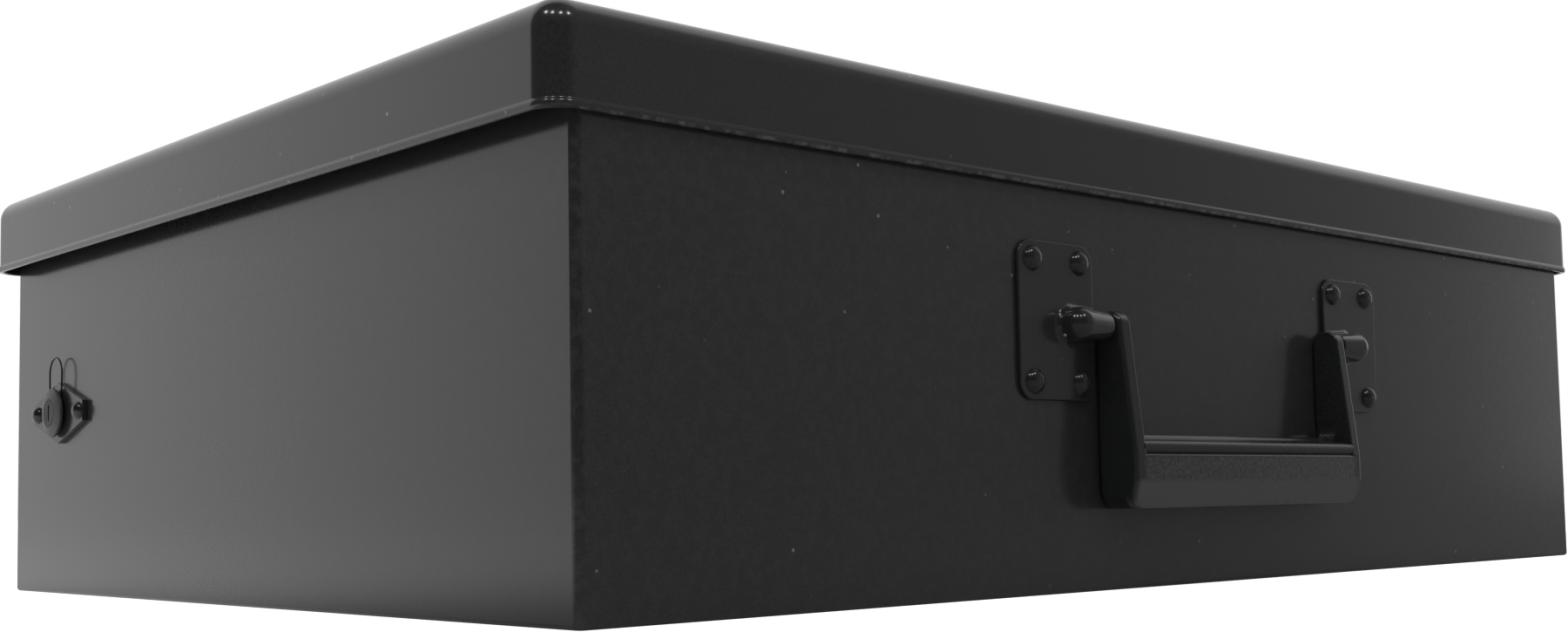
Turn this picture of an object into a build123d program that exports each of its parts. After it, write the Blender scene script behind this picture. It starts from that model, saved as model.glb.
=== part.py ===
from build123d import *
import os
from math import asin, atan2, cos, degrees, sin, sqrt

os.makedirs("parts", exist_ok=True)

# Security lock box in painted sheet steel, in millimetres.
# Origin: centre of the body's underside. X runs along the front, Y to the back, Z up.

# Overall sizes
lid_length = 457.0
lid_depth = 317.5
total_height = 127.0
end_overhang = 7.5
side_overhang = 2.5
sheet = 0.9

# Lid
lid_skirt_height = 23.6
rim_flare = 0.4
rim_band = 2.0
lid_corner_radius = 7.0
lid_edge_radius = 6.5

# Body
body_corner_radius = 2.2
flange_width = 10.0
flange_lip = 4.0
buffer_height = 2.5
buffer_radius = 2.6
buffer_edge = 0.2
lid_rest_gap = 0.3

rim_height = total_height - lid_skirt_height
body_length = lid_length - 2 * end_overhang
body_depth = lid_depth - 2 * side_overhang
body_height = total_height - sheet - lid_rest_gap - buffer_height
wall_left = -body_length / 2
wall_front = -body_depth / 2
wall_back = body_depth / 2
skirt_length = lid_length - 2 * rim_flare
skirt_depth = lid_depth - 2 * rim_flare
skirt_back = skirt_depth / 2
flat_length = skirt_length - 2 * lid_corner_radius
flat_depth = skirt_depth - 2 * lid_corner_radius
fold_height = total_height - lid_corner_radius
lid_underside = total_height - sheet
inner_length = body_length - 2 * sheet
inner_depth = body_depth - 2 * sheet
straight_length = body_length - 2 * body_corner_radius
straight_depth = body_depth - 2 * body_corner_radius
mouth_length = body_length - 2 * flange_width
mouth_depth = body_depth - 2 * flange_width

# Fits
rivet_clearance = 0.05
running_clearance = 0.05
hair = 0.001
rivet_reach = 0.8

# Handle plates and their rivets
plate_width = 29.8
plate_height = 40.6
plate_thickness = 1.2
plate_corner_radius = 5.0
plate_below_rim = 34.1
plate_gap = 1.3
plate_rivet_margin_x = 5.5
plate_rivet_margin_z = 4.75
plate_rivet_head_radius = 3.35
plate_rivet_head_height = 1.9
plate_rivet_shank_radius = 2.0
washer_radius = 4.0
washer_thickness = 0.8

# Handle
pivot_below_rim = 34.9
pivot_pin_radius = 2.6
barrel_wall = 1.8
barrel_mouth_wall = 0.95
barrel_back_gap = 0.15
barrel_length = 14.9
barrel_root_radius = 1.8
handle_width = 110.6
arm_thickness = 4.4
eye_wall = 1.5
pin_end_wall = 1.2
wall_gap = 0.5
arm_edge_radius = 1.2
arm_inner_edge_radius = 0.5
grip_bottom_drop = 47.3
grip_height = 19.4
grip_depth = 8.0
grip_corner_radius = 5.2
grip_root_radius = 3.5
root_back_inset = 1.5
root_front_inset = 6.9
root_sink = 1.5
grip_edge_radius = 1.0
face_edge_radius = 0.8
lower_face_slant = 1.9
lower_face_height = 7.0
groove_below_top = 5.0
groove_width = 0.7
bead_radius = 1.65
lip_setback = 6.3

# Lock
lock_from_back = 40.2
lock_below_rim = 47.5
flange_half_length = 20.2
flange_half_height = 9.6
flange_end_half = 3.1
flange_thickness = 1.6
flange_nose_radius = 3.0
lock_rivet_margin = 3.7
lock_rivet_head_radius = 2.85
lock_rivet_head_height = 1.6
lock_rivet_shank_radius = 1.6
head_radius = 7.55
head_start = 2.7
head_end = 3.6
head_dome = 1.1
barrel_radius = 4.8
groove_radius = 4.2
plug_radius = 3.3
plug_flange_radius = 4.2
plug_flange_thickness = 0.8
lock_depth = 14.7
keyway_width = 0.9
keyway_height = 5.0
wafer_count = 5
wafer_thickness = 0.7
wafer_pitch = 1.9
wafer_width = 3.6
wafer_first = 3.0
wafer_clearance = 0.05
wafer_window_width = 1.1
wafer_window_height = 3.2
nut_across_flats = 13.0
nut_thickness = 3.0
tooth_washer_radius = 7.8
tooth_washer_thickness = 0.7
tooth_count = 16
cam_thickness = 2.0
cam_width = 10.0
cam_tip_width = 7.0
cam_boss_radius = 7.0
cam_gap = 0.3
square_width = 4.4
finger_inner_radius = 43.8
finger_outer_radius = 47.8
finger_reach = 12.0
cam_screw_radius = 1.5
cam_screw_head_radius = 3.4
cam_screw_head_height = 1.6
cam_screw_length = 5.0

# Wire clip
wire_radius = 0.25
clip_standoff = 2.15
clip_height = 17.2
clip_loop_radius = 5.0
clip_foot_drop = 3.5
clip_clearance = 0.05

# Keeper under the lid
keeper_thickness = 1.5
keeper_side = 2.0
keeper_play = 0.4
keeper_window_side_gap = 1.5
keeper_window_height = 7.5
keeper_bar = 4.0
keeper_foot = 16.0
keeper_offset = 5.5

# Hinge
hinge_end_margin = 28.1
knuckle_count = 21
knuckle_gap = 0.3
knuckle_radius = 2.4
hinge_pin_radius = 1.2
leaf_thickness = 1.0
leaf_height = 15.0
axis_below_rim = 2.8
axis_to_body_leaf_top = 3.0
hinge_wall_gap = 0.3
hinge_rivet_margin = 14.0
hinge_rivet_count = 7
hinge_rivet_head_radius = 2.4
hinge_rivet_head_height = 1.1
hinge_rivet_shank_radius = 1.5
hinge_rivet_tail = 0.7
lid_rivet_height = 8.0
body_rivet_drop = 9.5

# Places worked out from the sizes above
lock_y = wall_back - lock_from_back
barrel_inner_radius = pivot_pin_radius + running_clearance
barrel_outer_radius = barrel_inner_radius + barrel_wall
barrel_mouth_radius = barrel_inner_radius + barrel_mouth_wall
barrel_straight = barrel_length - barrel_outer_radius
pin_reach = barrel_straight - running_clearance
barrel_taper = asin(barrel_outer_radius / sqrt(barrel_mouth_radius**2 + barrel_straight**2))
barrel_taper = barrel_taper - atan2(barrel_mouth_radius, barrel_straight)
eye_radius = pivot_pin_radius + eye_wall
pivot_offset = barrel_outer_radius + barrel_back_gap
pivot_height = rim_height - pivot_below_rim
pivot_y = wall_front - pivot_offset
plate_inner_edge = handle_width / 2 + plate_gap
plate_centre = plate_inner_edge + plate_width / 2
plate_centre_height = rim_height - plate_below_rim
plate_rivet_pitch_x = plate_width - 2 * plate_rivet_margin_x
plate_rivet_pitch_z = plate_height - 2 * plate_rivet_margin_z
grip_bottom = pivot_height - grip_bottom_drop
grip_top = grip_bottom + grip_height
groove_height = grip_top - groove_below_top
lock_height = rim_height - lock_below_rim
lock_rivet_spacing = 2 * (flange_half_length - lock_rivet_margin)
hinge_length = skirt_length - 2 * hinge_end_margin
hinge_rivet_pitch = (hinge_length - 2 * hinge_rivet_margin) / (hinge_rivet_count - 1)
hinge_y = wall_back + knuckle_radius + hinge_wall_gap
hinge_z = rim_height - axis_below_rim
front_face = Plane(origin=(0, wall_front, 0), x_dir=(1, 0, 0), z_dir=(0, -1, 0))
back_face = Plane(origin=(0, wall_back, 0), x_dir=(-1, 0, 0), z_dir=(0, 1, 0))
skirt_face = Plane(origin=(0, skirt_back, 0), x_dir=(-1, 0, 0), z_dir=(0, 1, 0))
lock_face = Plane(origin=(wall_left, lock_y, lock_height), x_dir=(0, -1, 0), z_dir=(-1, 0, 0))
pivot_plane = Plane(origin=(0, pivot_y, pivot_height), x_dir=(0, -1, 0), z_dir=(-1, 0, 0))

plate_sides = {"left": -1, "right": 1}
plate_rivet_spots = [
    (x * plate_rivet_pitch_x / 2, z * plate_rivet_pitch_z / 2) for x in (-1, 1) for z in (-1, 1)
]
lock_rivet_spots = [(-lock_rivet_spacing / 2, 0), (lock_rivet_spacing / 2, 0)]
hinge_rivet_xs = [
    (n - (hinge_rivet_count - 1) / 2) * hinge_rivet_pitch for n in range(hinge_rivet_count)
]
body_hinge_spots = [(x, hinge_z - body_rivet_drop) for x in hinge_rivet_xs]
lid_hinge_spots = [(x, rim_height + lid_rivet_height) for x in hinge_rivet_xs]


def set_rivet(head_radius, head_height, shank_radius, grip, tail_radius, tail_height):
    """A set rivet along Z: the domed head seats at z = 0 and the tail at z = -grip."""
    with BuildPart() as rivet:
        with BuildSketch(Plane.XZ):
            with BuildLine():
                dome = ThreePointArc(
                    (0, head_height),
                    (head_radius * 0.66, head_height * 0.77),
                    (head_radius, 0),
                )
                Polyline(
                    dome @ 1,
                    (shank_radius, 0),
                    (shank_radius, -grip),
                    (tail_radius, -grip),
                    (tail_radius * 0.8, -grip - tail_height),
                    (0, -grip - tail_height),
                    (0, head_height),
                )
            make_face()
        revolve(axis=Axis.Z)
    return rivet.part


# Body: a folded pan with an inward flange and a down-turned lip round its mouth,
# given as panels that meet face to face
with BuildPart() as body_bottom:
    with BuildSketch():
        RectangleRounded(body_length, body_depth, body_corner_radius)
    extrude(amount=sheet)

with BuildPart() as body_long_walls:
    with BuildSketch(Plane.XY.offset(sheet)):
        Rectangle(straight_length, body_depth)
        Rectangle(straight_length, inner_depth, mode=Mode.SUBTRACT)
    extrude(amount=body_height - sheet)
    # Rivet holes of the handle plates
    with BuildSketch(front_face):
        for side in plate_sides.values():
            for x, z in plate_rivet_spots:
                with Locations((side * plate_centre + x, plate_centre_height + z)):
                    Circle(plate_rivet_shank_radius + rivet_clearance)
    extrude(amount=-2 * sheet, mode=Mode.SUBTRACT)
    # Rivet holes of the hinge
    with BuildSketch(back_face):
        with Locations(*body_hinge_spots):
            Circle(hinge_rivet_shank_radius + rivet_clearance)
    extrude(amount=-2 * sheet, mode=Mode.SUBTRACT)

with BuildPart() as body_end_walls:
    with BuildSketch(Plane.XY.offset(sheet)):
        Rectangle(body_length, straight_depth)
        Rectangle(inner_length, straight_depth, mode=Mode.SUBTRACT)
    extrude(amount=body_height - sheet)
    # Holes of the lock
    with BuildSketch(lock_face):
        Circle(barrel_radius + rivet_clearance)
        with Locations(*lock_rivet_spots):
            Circle(lock_rivet_shank_radius + rivet_clearance)
    extrude(amount=-2 * sheet, mode=Mode.SUBTRACT)

with BuildPart() as body_corners:
    with BuildSketch(Plane.XY.offset(sheet)):
        RectangleRounded(body_length, body_depth, body_corner_radius)
        RectangleRounded(
            inner_length, inner_depth, body_corner_radius - sheet, mode=Mode.SUBTRACT
        )
        Rectangle(straight_length, body_depth, mode=Mode.SUBTRACT)
        Rectangle(body_length, straight_depth, mode=Mode.SUBTRACT)
    extrude(amount=body_height - sheet)

with BuildPart() as body_long_flanges:
    with BuildSketch(Plane.XY.offset(body_height)):
        RectangleRounded(inner_length, inner_depth, body_corner_radius - sheet)
        Rectangle(inner_length, mouth_depth, mode=Mode.SUBTRACT)
    extrude(amount=-sheet)
    with BuildSketch(Plane.XY.offset(body_height - sheet)):
        Rectangle(mouth_length + 2 * sheet, mouth_depth + 2 * sheet)
        Rectangle(mouth_length + 2 * sheet, mouth_depth, mode=Mode.SUBTRACT)
    extrude(amount=-flange_lip)

with BuildPart() as body_end_flanges:
    with BuildSketch(Plane.XY.offset(body_height)):
        Rectangle(inner_length, mouth_depth)
        Rectangle(mouth_length, mouth_depth, mode=Mode.SUBTRACT)
    extrude(amount=-sheet)
    with BuildSketch(Plane.XY.offset(body_height - sheet)):
        Rectangle(mouth_length + 2 * sheet, mouth_depth)
        Rectangle(mouth_length, mouth_depth, mode=Mode.SUBTRACT)
    extrude(amount=-flange_lip)

# Lid: a drawn shell with a rolled band round the front and the ends of its rim
with BuildPart() as lid_form:
    with BuildSketch(Plane.XY.offset(rim_height)):
        RectangleRounded(skirt_length, skirt_depth, lid_corner_radius)
    extrude(amount=total_height - rim_height)
    fillet(lid_form.faces().sort_by(Axis.Z)[-1].edges(), radius=lid_edge_radius)
    offset(amount=-sheet, openings=lid_form.faces().sort_by(Axis.Z)[0])
    with BuildSketch(Plane.XY.offset(rim_height)):
        RectangleRounded(lid_length, lid_depth, lid_corner_radius + rim_flare)
        RectangleRounded(
            skirt_length - sheet, skirt_depth - sheet, lid_corner_radius - sheet / 2,
            mode=Mode.SUBTRACT,
        )
        with Locations((0, skirt_back)):
            Rectangle(
                hinge_length + 2 * lid_corner_radius, 2 * rim_flare,
                align=(Align.CENTER, Align.MIN), mode=Mode.SUBTRACT,
            )
    extrude(amount=rim_band)
    with BuildSketch(skirt_face):
        with Locations(*lid_hinge_spots):
            Circle(hinge_rivet_shank_radius + rivet_clearance)
    extrude(amount=-2 * sheet, mode=Mode.SUBTRACT)

# The lid's flat top, its folded edges, its skirts and its corners, which meet face to face
with BuildPart() as lid_top:
    add(lid_form.part)
    Box(flat_length, flat_depth, 2 * total_height, mode=Mode.INTERSECT)

with BuildPart() as lid_long_skirts:
    add(lid_form.part)
    Box(flat_length, 2 * lid_depth, 2 * fold_height, mode=Mode.INTERSECT)

with BuildPart() as lid_end_skirts:
    add(lid_form.part)
    Box(2 * lid_length, flat_depth, 2 * fold_height, mode=Mode.INTERSECT)

with BuildPart() as lid_long_folds:
    add(lid_form.part)
    Box(flat_length, 2 * lid_depth, 2 * total_height, mode=Mode.INTERSECT)
    Box(flat_length, flat_depth, 2 * total_height, mode=Mode.SUBTRACT)
    Box(flat_length, 2 * lid_depth, 2 * fold_height, mode=Mode.SUBTRACT)

with BuildPart() as lid_end_folds:
    add(lid_form.part)
    Box(2 * lid_length, flat_depth, 2 * total_height, mode=Mode.INTERSECT)
    Box(flat_length, flat_depth, 2 * total_height, mode=Mode.SUBTRACT)
    Box(2 * lid_length, flat_depth, 2 * fold_height, mode=Mode.SUBTRACT)

with BuildPart() as lid_corners:
    add(lid_form.part)
    Box(flat_length, 2 * lid_depth, 2 * total_height, mode=Mode.SUBTRACT)
    Box(2 * lid_length, flat_depth, 2 * total_height, mode=Mode.SUBTRACT)

# Rubber buffers on the corners of the body's flange, under the lid
buffer_inset = flange_width - buffer_radius - buffer_edge
with BuildPart() as lid_buffers:
    with BuildSketch(Plane.XY.offset(body_height)):
        with GridLocations(
            body_length - 2 * buffer_inset, body_depth - 2 * buffer_inset, 2, 2
        ):
            Circle(buffer_radius)
    extrude(amount=buffer_height)
    chamfer(lid_buffers.faces().group_by(Axis.Z)[-1].edges(), length=buffer_height / 4)

# Hinge leaves: a flat leaf each, with alternate knuckles round one pin
knuckle_pitch = hinge_length / knuckle_count
knuckle_length = knuckle_pitch - knuckle_gap
knuckle_xs = [(n - (knuckle_count - 1) / 2) * knuckle_pitch for n in range(knuckle_count)]
body_knuckle_xs = knuckle_xs[0::2]
lid_knuckle_xs = knuckle_xs[1::2]
pin_hole_radius = hinge_pin_radius + running_clearance
body_leaf_top = hinge_z - axis_to_body_leaf_top
body_leaf_bottom = body_leaf_top - leaf_height + axis_to_body_leaf_top
lid_leaf_bottom = rim_height
lid_leaf_top = rim_height + leaf_height

with BuildPart() as hinge_body_leaf:
    with BuildSketch(back_face):
        with Locations((0, (body_leaf_top + body_leaf_bottom) / 2)):
            Rectangle(hinge_length - knuckle_gap, body_leaf_top - body_leaf_bottom)
        for x in body_knuckle_xs:
            with Locations((x, (hinge_z + body_leaf_top) / 2)):
                Rectangle(knuckle_length, hinge_z - body_leaf_top)
    extrude(amount=leaf_thickness)
    for x in body_knuckle_xs:
        with BuildSketch(Plane.YZ.offset(x - knuckle_length / 2)):
            with Locations((hinge_y, hinge_z)):
                Circle(knuckle_radius)
        extrude(amount=knuckle_length)
    with BuildSketch(Plane.YZ.offset(-hinge_length / 2)):
        with Locations((hinge_y, hinge_z)):
            Circle(pin_hole_radius)
    extrude(amount=hinge_length, mode=Mode.SUBTRACT)
    with BuildSketch(back_face):
        with Locations(*body_hinge_spots):
            Circle(hinge_rivet_shank_radius + rivet_clearance)
    extrude(amount=leaf_thickness, mode=Mode.SUBTRACT)

with BuildPart() as hinge_lid_leaf:
    with BuildSketch(skirt_face):
        with Locations((0, (lid_leaf_top + lid_leaf_bottom) / 2)):
            Rectangle(hinge_length - knuckle_gap, lid_leaf_top - lid_leaf_bottom)
        for x in lid_knuckle_xs:
            with Locations((x, (hinge_z + lid_leaf_bottom) / 2)):
                Rectangle(knuckle_length, lid_leaf_bottom - hinge_z)
    extrude(amount=leaf_thickness)
    for x in lid_knuckle_xs:
        with BuildSketch(Plane.YZ.offset(x - knuckle_length / 2)):
            with Locations((hinge_y, hinge_z)):
                Circle(knuckle_radius)
        extrude(amount=knuckle_length)
    with BuildSketch(Plane.YZ.offset(-hinge_length / 2)):
        with Locations((hinge_y, hinge_z)):
            Circle(pin_hole_radius)
    extrude(amount=hinge_length, mode=Mode.SUBTRACT)
    with BuildSketch(skirt_face):
        with Locations(*lid_hinge_spots):
            Circle(hinge_rivet_shank_radius + rivet_clearance)
    extrude(amount=leaf_thickness, mode=Mode.SUBTRACT)

with BuildPart() as hinge_pin:
    with BuildSketch(Plane.YZ.offset(-hinge_length / 2)):
        with Locations((hinge_y, hinge_z)):
            Circle(hinge_pin_radius)
    extrude(amount=hinge_length)
    chamfer(hinge_pin.edges().filter_by(GeomType.CIRCLE), length=hinge_pin_radius / 4)

# Hinge rivets: their heads show at the back, their flat tails lie inside
hinge_rivet = set_rivet(
    hinge_rivet_head_radius, hinge_rivet_head_height, hinge_rivet_shank_radius,
    leaf_thickness + sheet, hinge_rivet_head_radius, hinge_rivet_tail,
)
with BuildPart() as hinge_body_rivets:
    for x, z in body_hinge_spots:
        with Locations(back_face.offset(leaf_thickness) * Pos(x, z, 0)):
            add(hinge_rivet)
with BuildPart() as hinge_lid_rivets:
    for x, z in lid_hinge_spots:
        with Locations(skirt_face.offset(leaf_thickness) * Pos(x, z, 0)):
            add(hinge_rivet)


# Handle plates: each has a pressed, tapered barrel that is open towards the handle
mouth_plane = Plane(
    origin=(-plate_inner_edge, pivot_y, pivot_height), x_dir=(0, -1, 0), z_dir=(-1, 0, 0)
)
dome_plane = mouth_plane.offset(barrel_straight - barrel_outer_radius * sin(barrel_taper))
dome_x = -plate_inner_edge - barrel_straight


def barrel_outline(plane, radius):
    """The outline of the barrel on one plane: a circle that runs on to the wall."""
    with BuildSketch(plane) as outline:
        Circle(radius)
        with Locations((-pivot_offset / 2, 0)):
            Rectangle(pivot_offset, 2 * radius)
    return outline.sketch


with BuildPart() as left_plate:
    with BuildSketch(front_face):
        with Locations((-plate_centre, plate_centre_height)):
            RectangleRounded(plate_width, plate_height, plate_corner_radius)
    extrude(amount=plate_thickness)
    loft([
        barrel_outline(mouth_plane, barrel_mouth_radius),
        barrel_outline(dome_plane, barrel_outer_radius * cos(barrel_taper)),
    ])
    with Locations((dome_x, pivot_y, pivot_height)):
        Sphere(barrel_outer_radius)
    with BuildSketch(front_face):
        with Locations((dome_x, pivot_height)):
            Circle(barrel_outer_radius)
    extrude(amount=pivot_offset)
    # The barrel's root is rounded into the face of the plate
    face_y = wall_front - plate_thickness
    roots = [
        edge for edge in left_plate.edges().filter_by_position(Axis.Y, face_y - hair, face_y + hair)
        if abs(edge.center().Z - pivot_height) < barrel_outer_radius
        and -barrel_length < edge.center().X + plate_inner_edge < -hair
    ]
    fillet(roots, radius=barrel_root_radius)
    extrude(barrel_outline(mouth_plane, barrel_inner_radius), barrel_straight, mode=Mode.SUBTRACT)
    with Locations((dome_x, pivot_y, pivot_height)):
        Sphere(barrel_inner_radius, mode=Mode.SUBTRACT)
    with BuildSketch(front_face):
        with Locations((dome_x, pivot_height)):
            Circle(barrel_inner_radius)
    extrude(amount=pivot_offset, mode=Mode.SUBTRACT)
    with BuildSketch(front_face):
        for x, z in plate_rivet_spots:
            with Locations((x - plate_centre, plate_centre_height + z)):
                Circle(plate_rivet_shank_radius + rivet_clearance)
    extrude(amount=plate_thickness, mode=Mode.SUBTRACT)

handle_plates = {"left": left_plate.part, "right": mirror(left_plate.part, about=Plane.YZ)}

# Rivets of the handle plates, with a washer on each tail inside the wall
plate_rivet = set_rivet(
    plate_rivet_head_radius, plate_rivet_head_height, plate_rivet_shank_radius,
    plate_thickness + sheet + washer_thickness, plate_rivet_shank_radius * 1.5, rivet_reach,
)
handle_rivets = {}
for name, side in plate_sides.items():
    with BuildPart() as rivets:
        for x, z in plate_rivet_spots:
            spot = Pos(side * plate_centre + x, plate_centre_height + z, 0)
            with Locations(front_face.offset(plate_thickness) * spot):
                add(plate_rivet)
    handle_rivets[name] = rivets.part

with BuildPart() as handle_rivet_washers:
    with BuildSketch(front_face.offset(-sheet)):
        for side in plate_sides.values():
            for x, z in plate_rivet_spots:
                with Locations((side * plate_centre + x, plate_centre_height + z)):
                    Circle(washer_radius)
                    Circle(plate_rivet_shank_radius + rivet_clearance, mode=Mode.SUBTRACT)
    extrude(amount=-washer_thickness)

# Handle: two arms that taper upwards to round eyes, joined by a shaped grip.
# In the profile, x is the distance out from the wall and y the height.
out_plane = Plane(origin=(0, wall_front, 0), x_dir=(0, -1, 0), z_dir=(-1, 0, 0))
arm_outer = handle_width / 2
arm_inner = arm_outer - arm_thickness
grip_front = pivot_offset + grip_depth


def rising_front_edges(part):
    """The edges of a part that reach in front of the pivot and aren't level."""
    return [
        edge for edge in part.edges()
        if edge.bounding_box().min.Y < pivot_y and edge.bounding_box().size.Z > hair
    ]


with BuildSketch(front_face) as handle_outline:
    with Locations((0, grip_bottom)):
        RectangleRounded(
            handle_width, 2 * (pivot_height - grip_bottom + 2 * eye_radius), grip_corner_radius,
            align=(Align.CENTER, Align.MIN),
        )

with BuildPart() as left_arm:
    with BuildSketch(out_plane.offset(arm_inner)):
        with Locations((pivot_offset, pivot_height)):
            Circle(eye_radius)
        with BuildLine():
            Polyline(
                (pivot_offset, pivot_height + eye_radius / 2),
                (wall_gap, pivot_height),
                (wall_gap, grip_bottom),
                (grip_front - lower_face_slant, grip_bottom),
                (grip_front, grip_bottom + lower_face_height),
                (grip_front, groove_height),
                (pivot_offset + eye_radius, pivot_height),
                close=True,
            )
        make_face()
    extrude(amount=arm_thickness)
    # The lower corner is rounded, then the edges away from the wall
    extrude(handle_outline.sketch, amount=3 * grip_front, mode=Mode.INTERSECT)
    fillet([
        edge for edge in rising_front_edges(left_arm)
        if edge.bounding_box().max.X < hair - arm_outer or edge.geom_type == GeomType.ELLIPSE
    ], radius=arm_edge_radius)
    fillet([
        edge for edge in rising_front_edges(left_arm)
        if edge.bounding_box().min.X > -hair - arm_inner
    ], radius=arm_inner_edge_radius)

# The grip runs a little way into both arms
grip_reach = arm_inner + arm_inner_edge_radius
with BuildPart() as handle:
    with BuildSketch(out_plane.offset(-grip_reach)) as profile:
        with BuildLine():
            lower_front = Line(
                (grip_front - lower_face_slant, grip_bottom),
                (grip_front, grip_bottom + lower_face_height),
            )
            face = Line(lower_front @ 1, (grip_front, groove_height - groove_width))
            groove = Line(face @ 1, (grip_front - groove_width, groove_height))
            bead = ThreePointArc(
                groove @ 1,
                (grip_front, groove_height + bead_radius),
                (grip_front - bead_radius, groove_height + 2 * bead_radius),
            )
            Polyline(
                bead @ 1,
                (grip_front - lip_setback, groove_height + 2 * bead_radius + groove_width),
                (grip_front - lip_setback - groove_width, grip_top),
                (wall_gap, grip_top),
                (wall_gap, grip_bottom),
                lower_front @ 0,
            )
        make_face()
        fillet([v for v in profile.vertices() if v.X > grip_front - hair],
               radius=face_edge_radius)
        fillet([v for v in profile.vertices() if v.Y < grip_bottom + hair or v.Y > grip_top - hair],
               radius=grip_edge_radius)
    extrude(amount=2 * grip_reach)
    # Rounded roots where the arms run into the grip
    for side in (-1, 1):
        with BuildSketch(front_face.offset(wall_gap + root_back_inset)):
            with BuildLine():
                corner = (side * arm_inner, grip_top - root_sink)
                tip = (side * arm_inner, grip_top + grip_root_radius)
                heel = (side * (arm_inner - grip_root_radius), grip_top - root_sink)
                bow = (
                    side * (arm_inner - grip_root_radius * 0.3),
                    grip_top + grip_root_radius * 0.15,
                )
                ThreePointArc(tip, bow, heel)
                Polyline(heel, corner, tip)
            make_face()
        extrude(amount=grip_front - wall_gap - root_front_inset)
    extrude(handle_outline.sketch, amount=3 * grip_front, mode=Mode.INTERSECT)
    add(left_arm.part)
    add(mirror(left_arm.part, about=Plane.YZ))
    # Blind holes for the pivot pins, from outside
    for side in plate_sides.values():
        with BuildSketch(pivot_plane.offset(-side * arm_outer)):
            Circle(pivot_pin_radius)
        extrude(amount=side * (arm_thickness - pin_end_wall), mode=Mode.SUBTRACT)

# Pivot pins: pressed into the arms, turning in the plates' barrels
pin_start = arm_inner + pin_end_wall
pivot_pins = {}
for name, side in plate_sides.items():
    pin_plane = Plane(
        origin=(side * pin_start, pivot_y, pivot_height), x_dir=(0, 1, 0), z_dir=(side, 0, 0)
    )
    with BuildPart() as pin:
        with BuildSketch(pin_plane):
            Circle(pivot_pin_radius)
        extrude(amount=plate_inner_edge + pin_reach - pin_start)
        chamfer(pin.edges().filter_by(GeomType.CIRCLE), length=pivot_pin_radius / 8)
    pivot_pins[name] = pin.part

# Lock flange: a long six-sided plate with blunt ends and rounded top and bottom
with BuildPart() as lock_flange:
    with BuildSketch(lock_face) as flange_outline:
        with BuildLine():
            Polyline(
                (flange_half_length, flange_end_half),
                (0, flange_half_height),
                (-flange_half_length, flange_end_half),
                (-flange_half_length, -flange_end_half),
                (0, -flange_half_height),
                (flange_half_length, -flange_end_half),
                close=True,
            )
        make_face()
        heights = flange_outline.vertices().sort_by(Axis.Y)
        fillet([heights[0], heights[-1]], radius=flange_nose_radius)
        Circle(barrel_radius + rivet_clearance, mode=Mode.SUBTRACT)
        with Locations(*lock_rivet_spots):
            Circle(lock_rivet_shank_radius + rivet_clearance, mode=Mode.SUBTRACT)
    extrude(amount=flange_thickness)

lock_rivet = set_rivet(
    lock_rivet_head_radius, lock_rivet_head_height, lock_rivet_shank_radius,
    flange_thickness + sheet, lock_rivet_shank_radius * 1.6, rivet_reach,
)
with BuildPart() as lock_flange_rivets:
    for x, z in lock_rivet_spots:
        with Locations(lock_face.offset(flange_thickness) * Pos(x, z, 0)):
            add(lock_rivet)

# Lock barrel: a domed head, a groove for the wire clip and a shank through the wall.
# In the profile, x is the radius and y the distance out from the wall.
lock_section = Plane(
    origin=(wall_left, lock_y, lock_height), x_dir=(0, 0, 1), z_dir=(0, -1, 0)
)
lock_axis = Axis((wall_left, lock_y, lock_height), (1, 0, 0))
plug_bore = plug_radius + running_clearance
collar_bore = plug_flange_radius + running_clearance
dome_radius = (head_radius**2 + head_dome**2) / (2 * head_dome)
face_out = head_end + head_dome - dome_radius + sqrt(dome_radius**2 - collar_bore**2)
collar_seat = face_out - plug_flange_thickness
dome_middle = (head_radius + collar_bore) / 2
dome_middle_out = head_end + head_dome - dome_radius + sqrt(dome_radius**2 - dome_middle**2)
with BuildPart() as lock_barrel:
    with BuildSketch(lock_section):
        with BuildLine():
            ThreePointArc(
                (head_radius, head_end), (dome_middle, dome_middle_out), (collar_bore, face_out)
            )
            Polyline(
                (collar_bore, face_out),
                (collar_bore, collar_seat),
                (plug_bore, collar_seat),
                (plug_bore, -lock_depth),
                (barrel_radius, -lock_depth),
                (barrel_radius, flange_thickness),
                (groove_radius, flange_thickness),
                (groove_radius, head_start),
                (head_radius, head_start),
                (head_radius, head_end),
            )
        make_face()
    revolve(axis=lock_axis)

# Wire clip: a hairpin of spring wire whose legs lean in to grip the barrel's groove
leg_reach = groove_radius + wire_radius + clip_clearance
loop_height = clip_height - clip_loop_radius
lean = atan2(clip_loop_radius - leg_reach, loop_height)
leg_top = (clip_loop_radius * cos(lean), loop_height - clip_loop_radius * sin(lean))
leg_foot_x = leg_top[0] - (leg_top[1] + clip_foot_drop) * sin(lean) / cos(lean)
with BuildPart() as lock_wire_clip:
    with BuildLine(lock_face.offset(clip_standoff)) as clip_line:
        Line((-leg_foot_x, -clip_foot_drop), (-leg_top[0], leg_top[1]))
        ThreePointArc((-leg_top[0], leg_top[1]), (0, clip_height), leg_top)
        Line(leg_top, (leg_foot_x, -clip_foot_drop))
    with BuildSketch(clip_line.line ^ 0):
        Circle(wire_radius)
    sweep()

# Toothed washer and nut that clamp the barrel from inside the wall
with BuildPart() as lock_tooth_washer:
    with BuildSketch(lock_face.offset(-sheet)):
        Circle(tooth_washer_radius)
        Circle(barrel_radius + running_clearance, mode=Mode.SUBTRACT)
        with PolarLocations(tooth_washer_radius, tooth_count):
            Rectangle(tooth_washer_radius / 3, tooth_washer_radius / 7, mode=Mode.SUBTRACT)
    extrude(amount=-tooth_washer_thickness)

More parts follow.
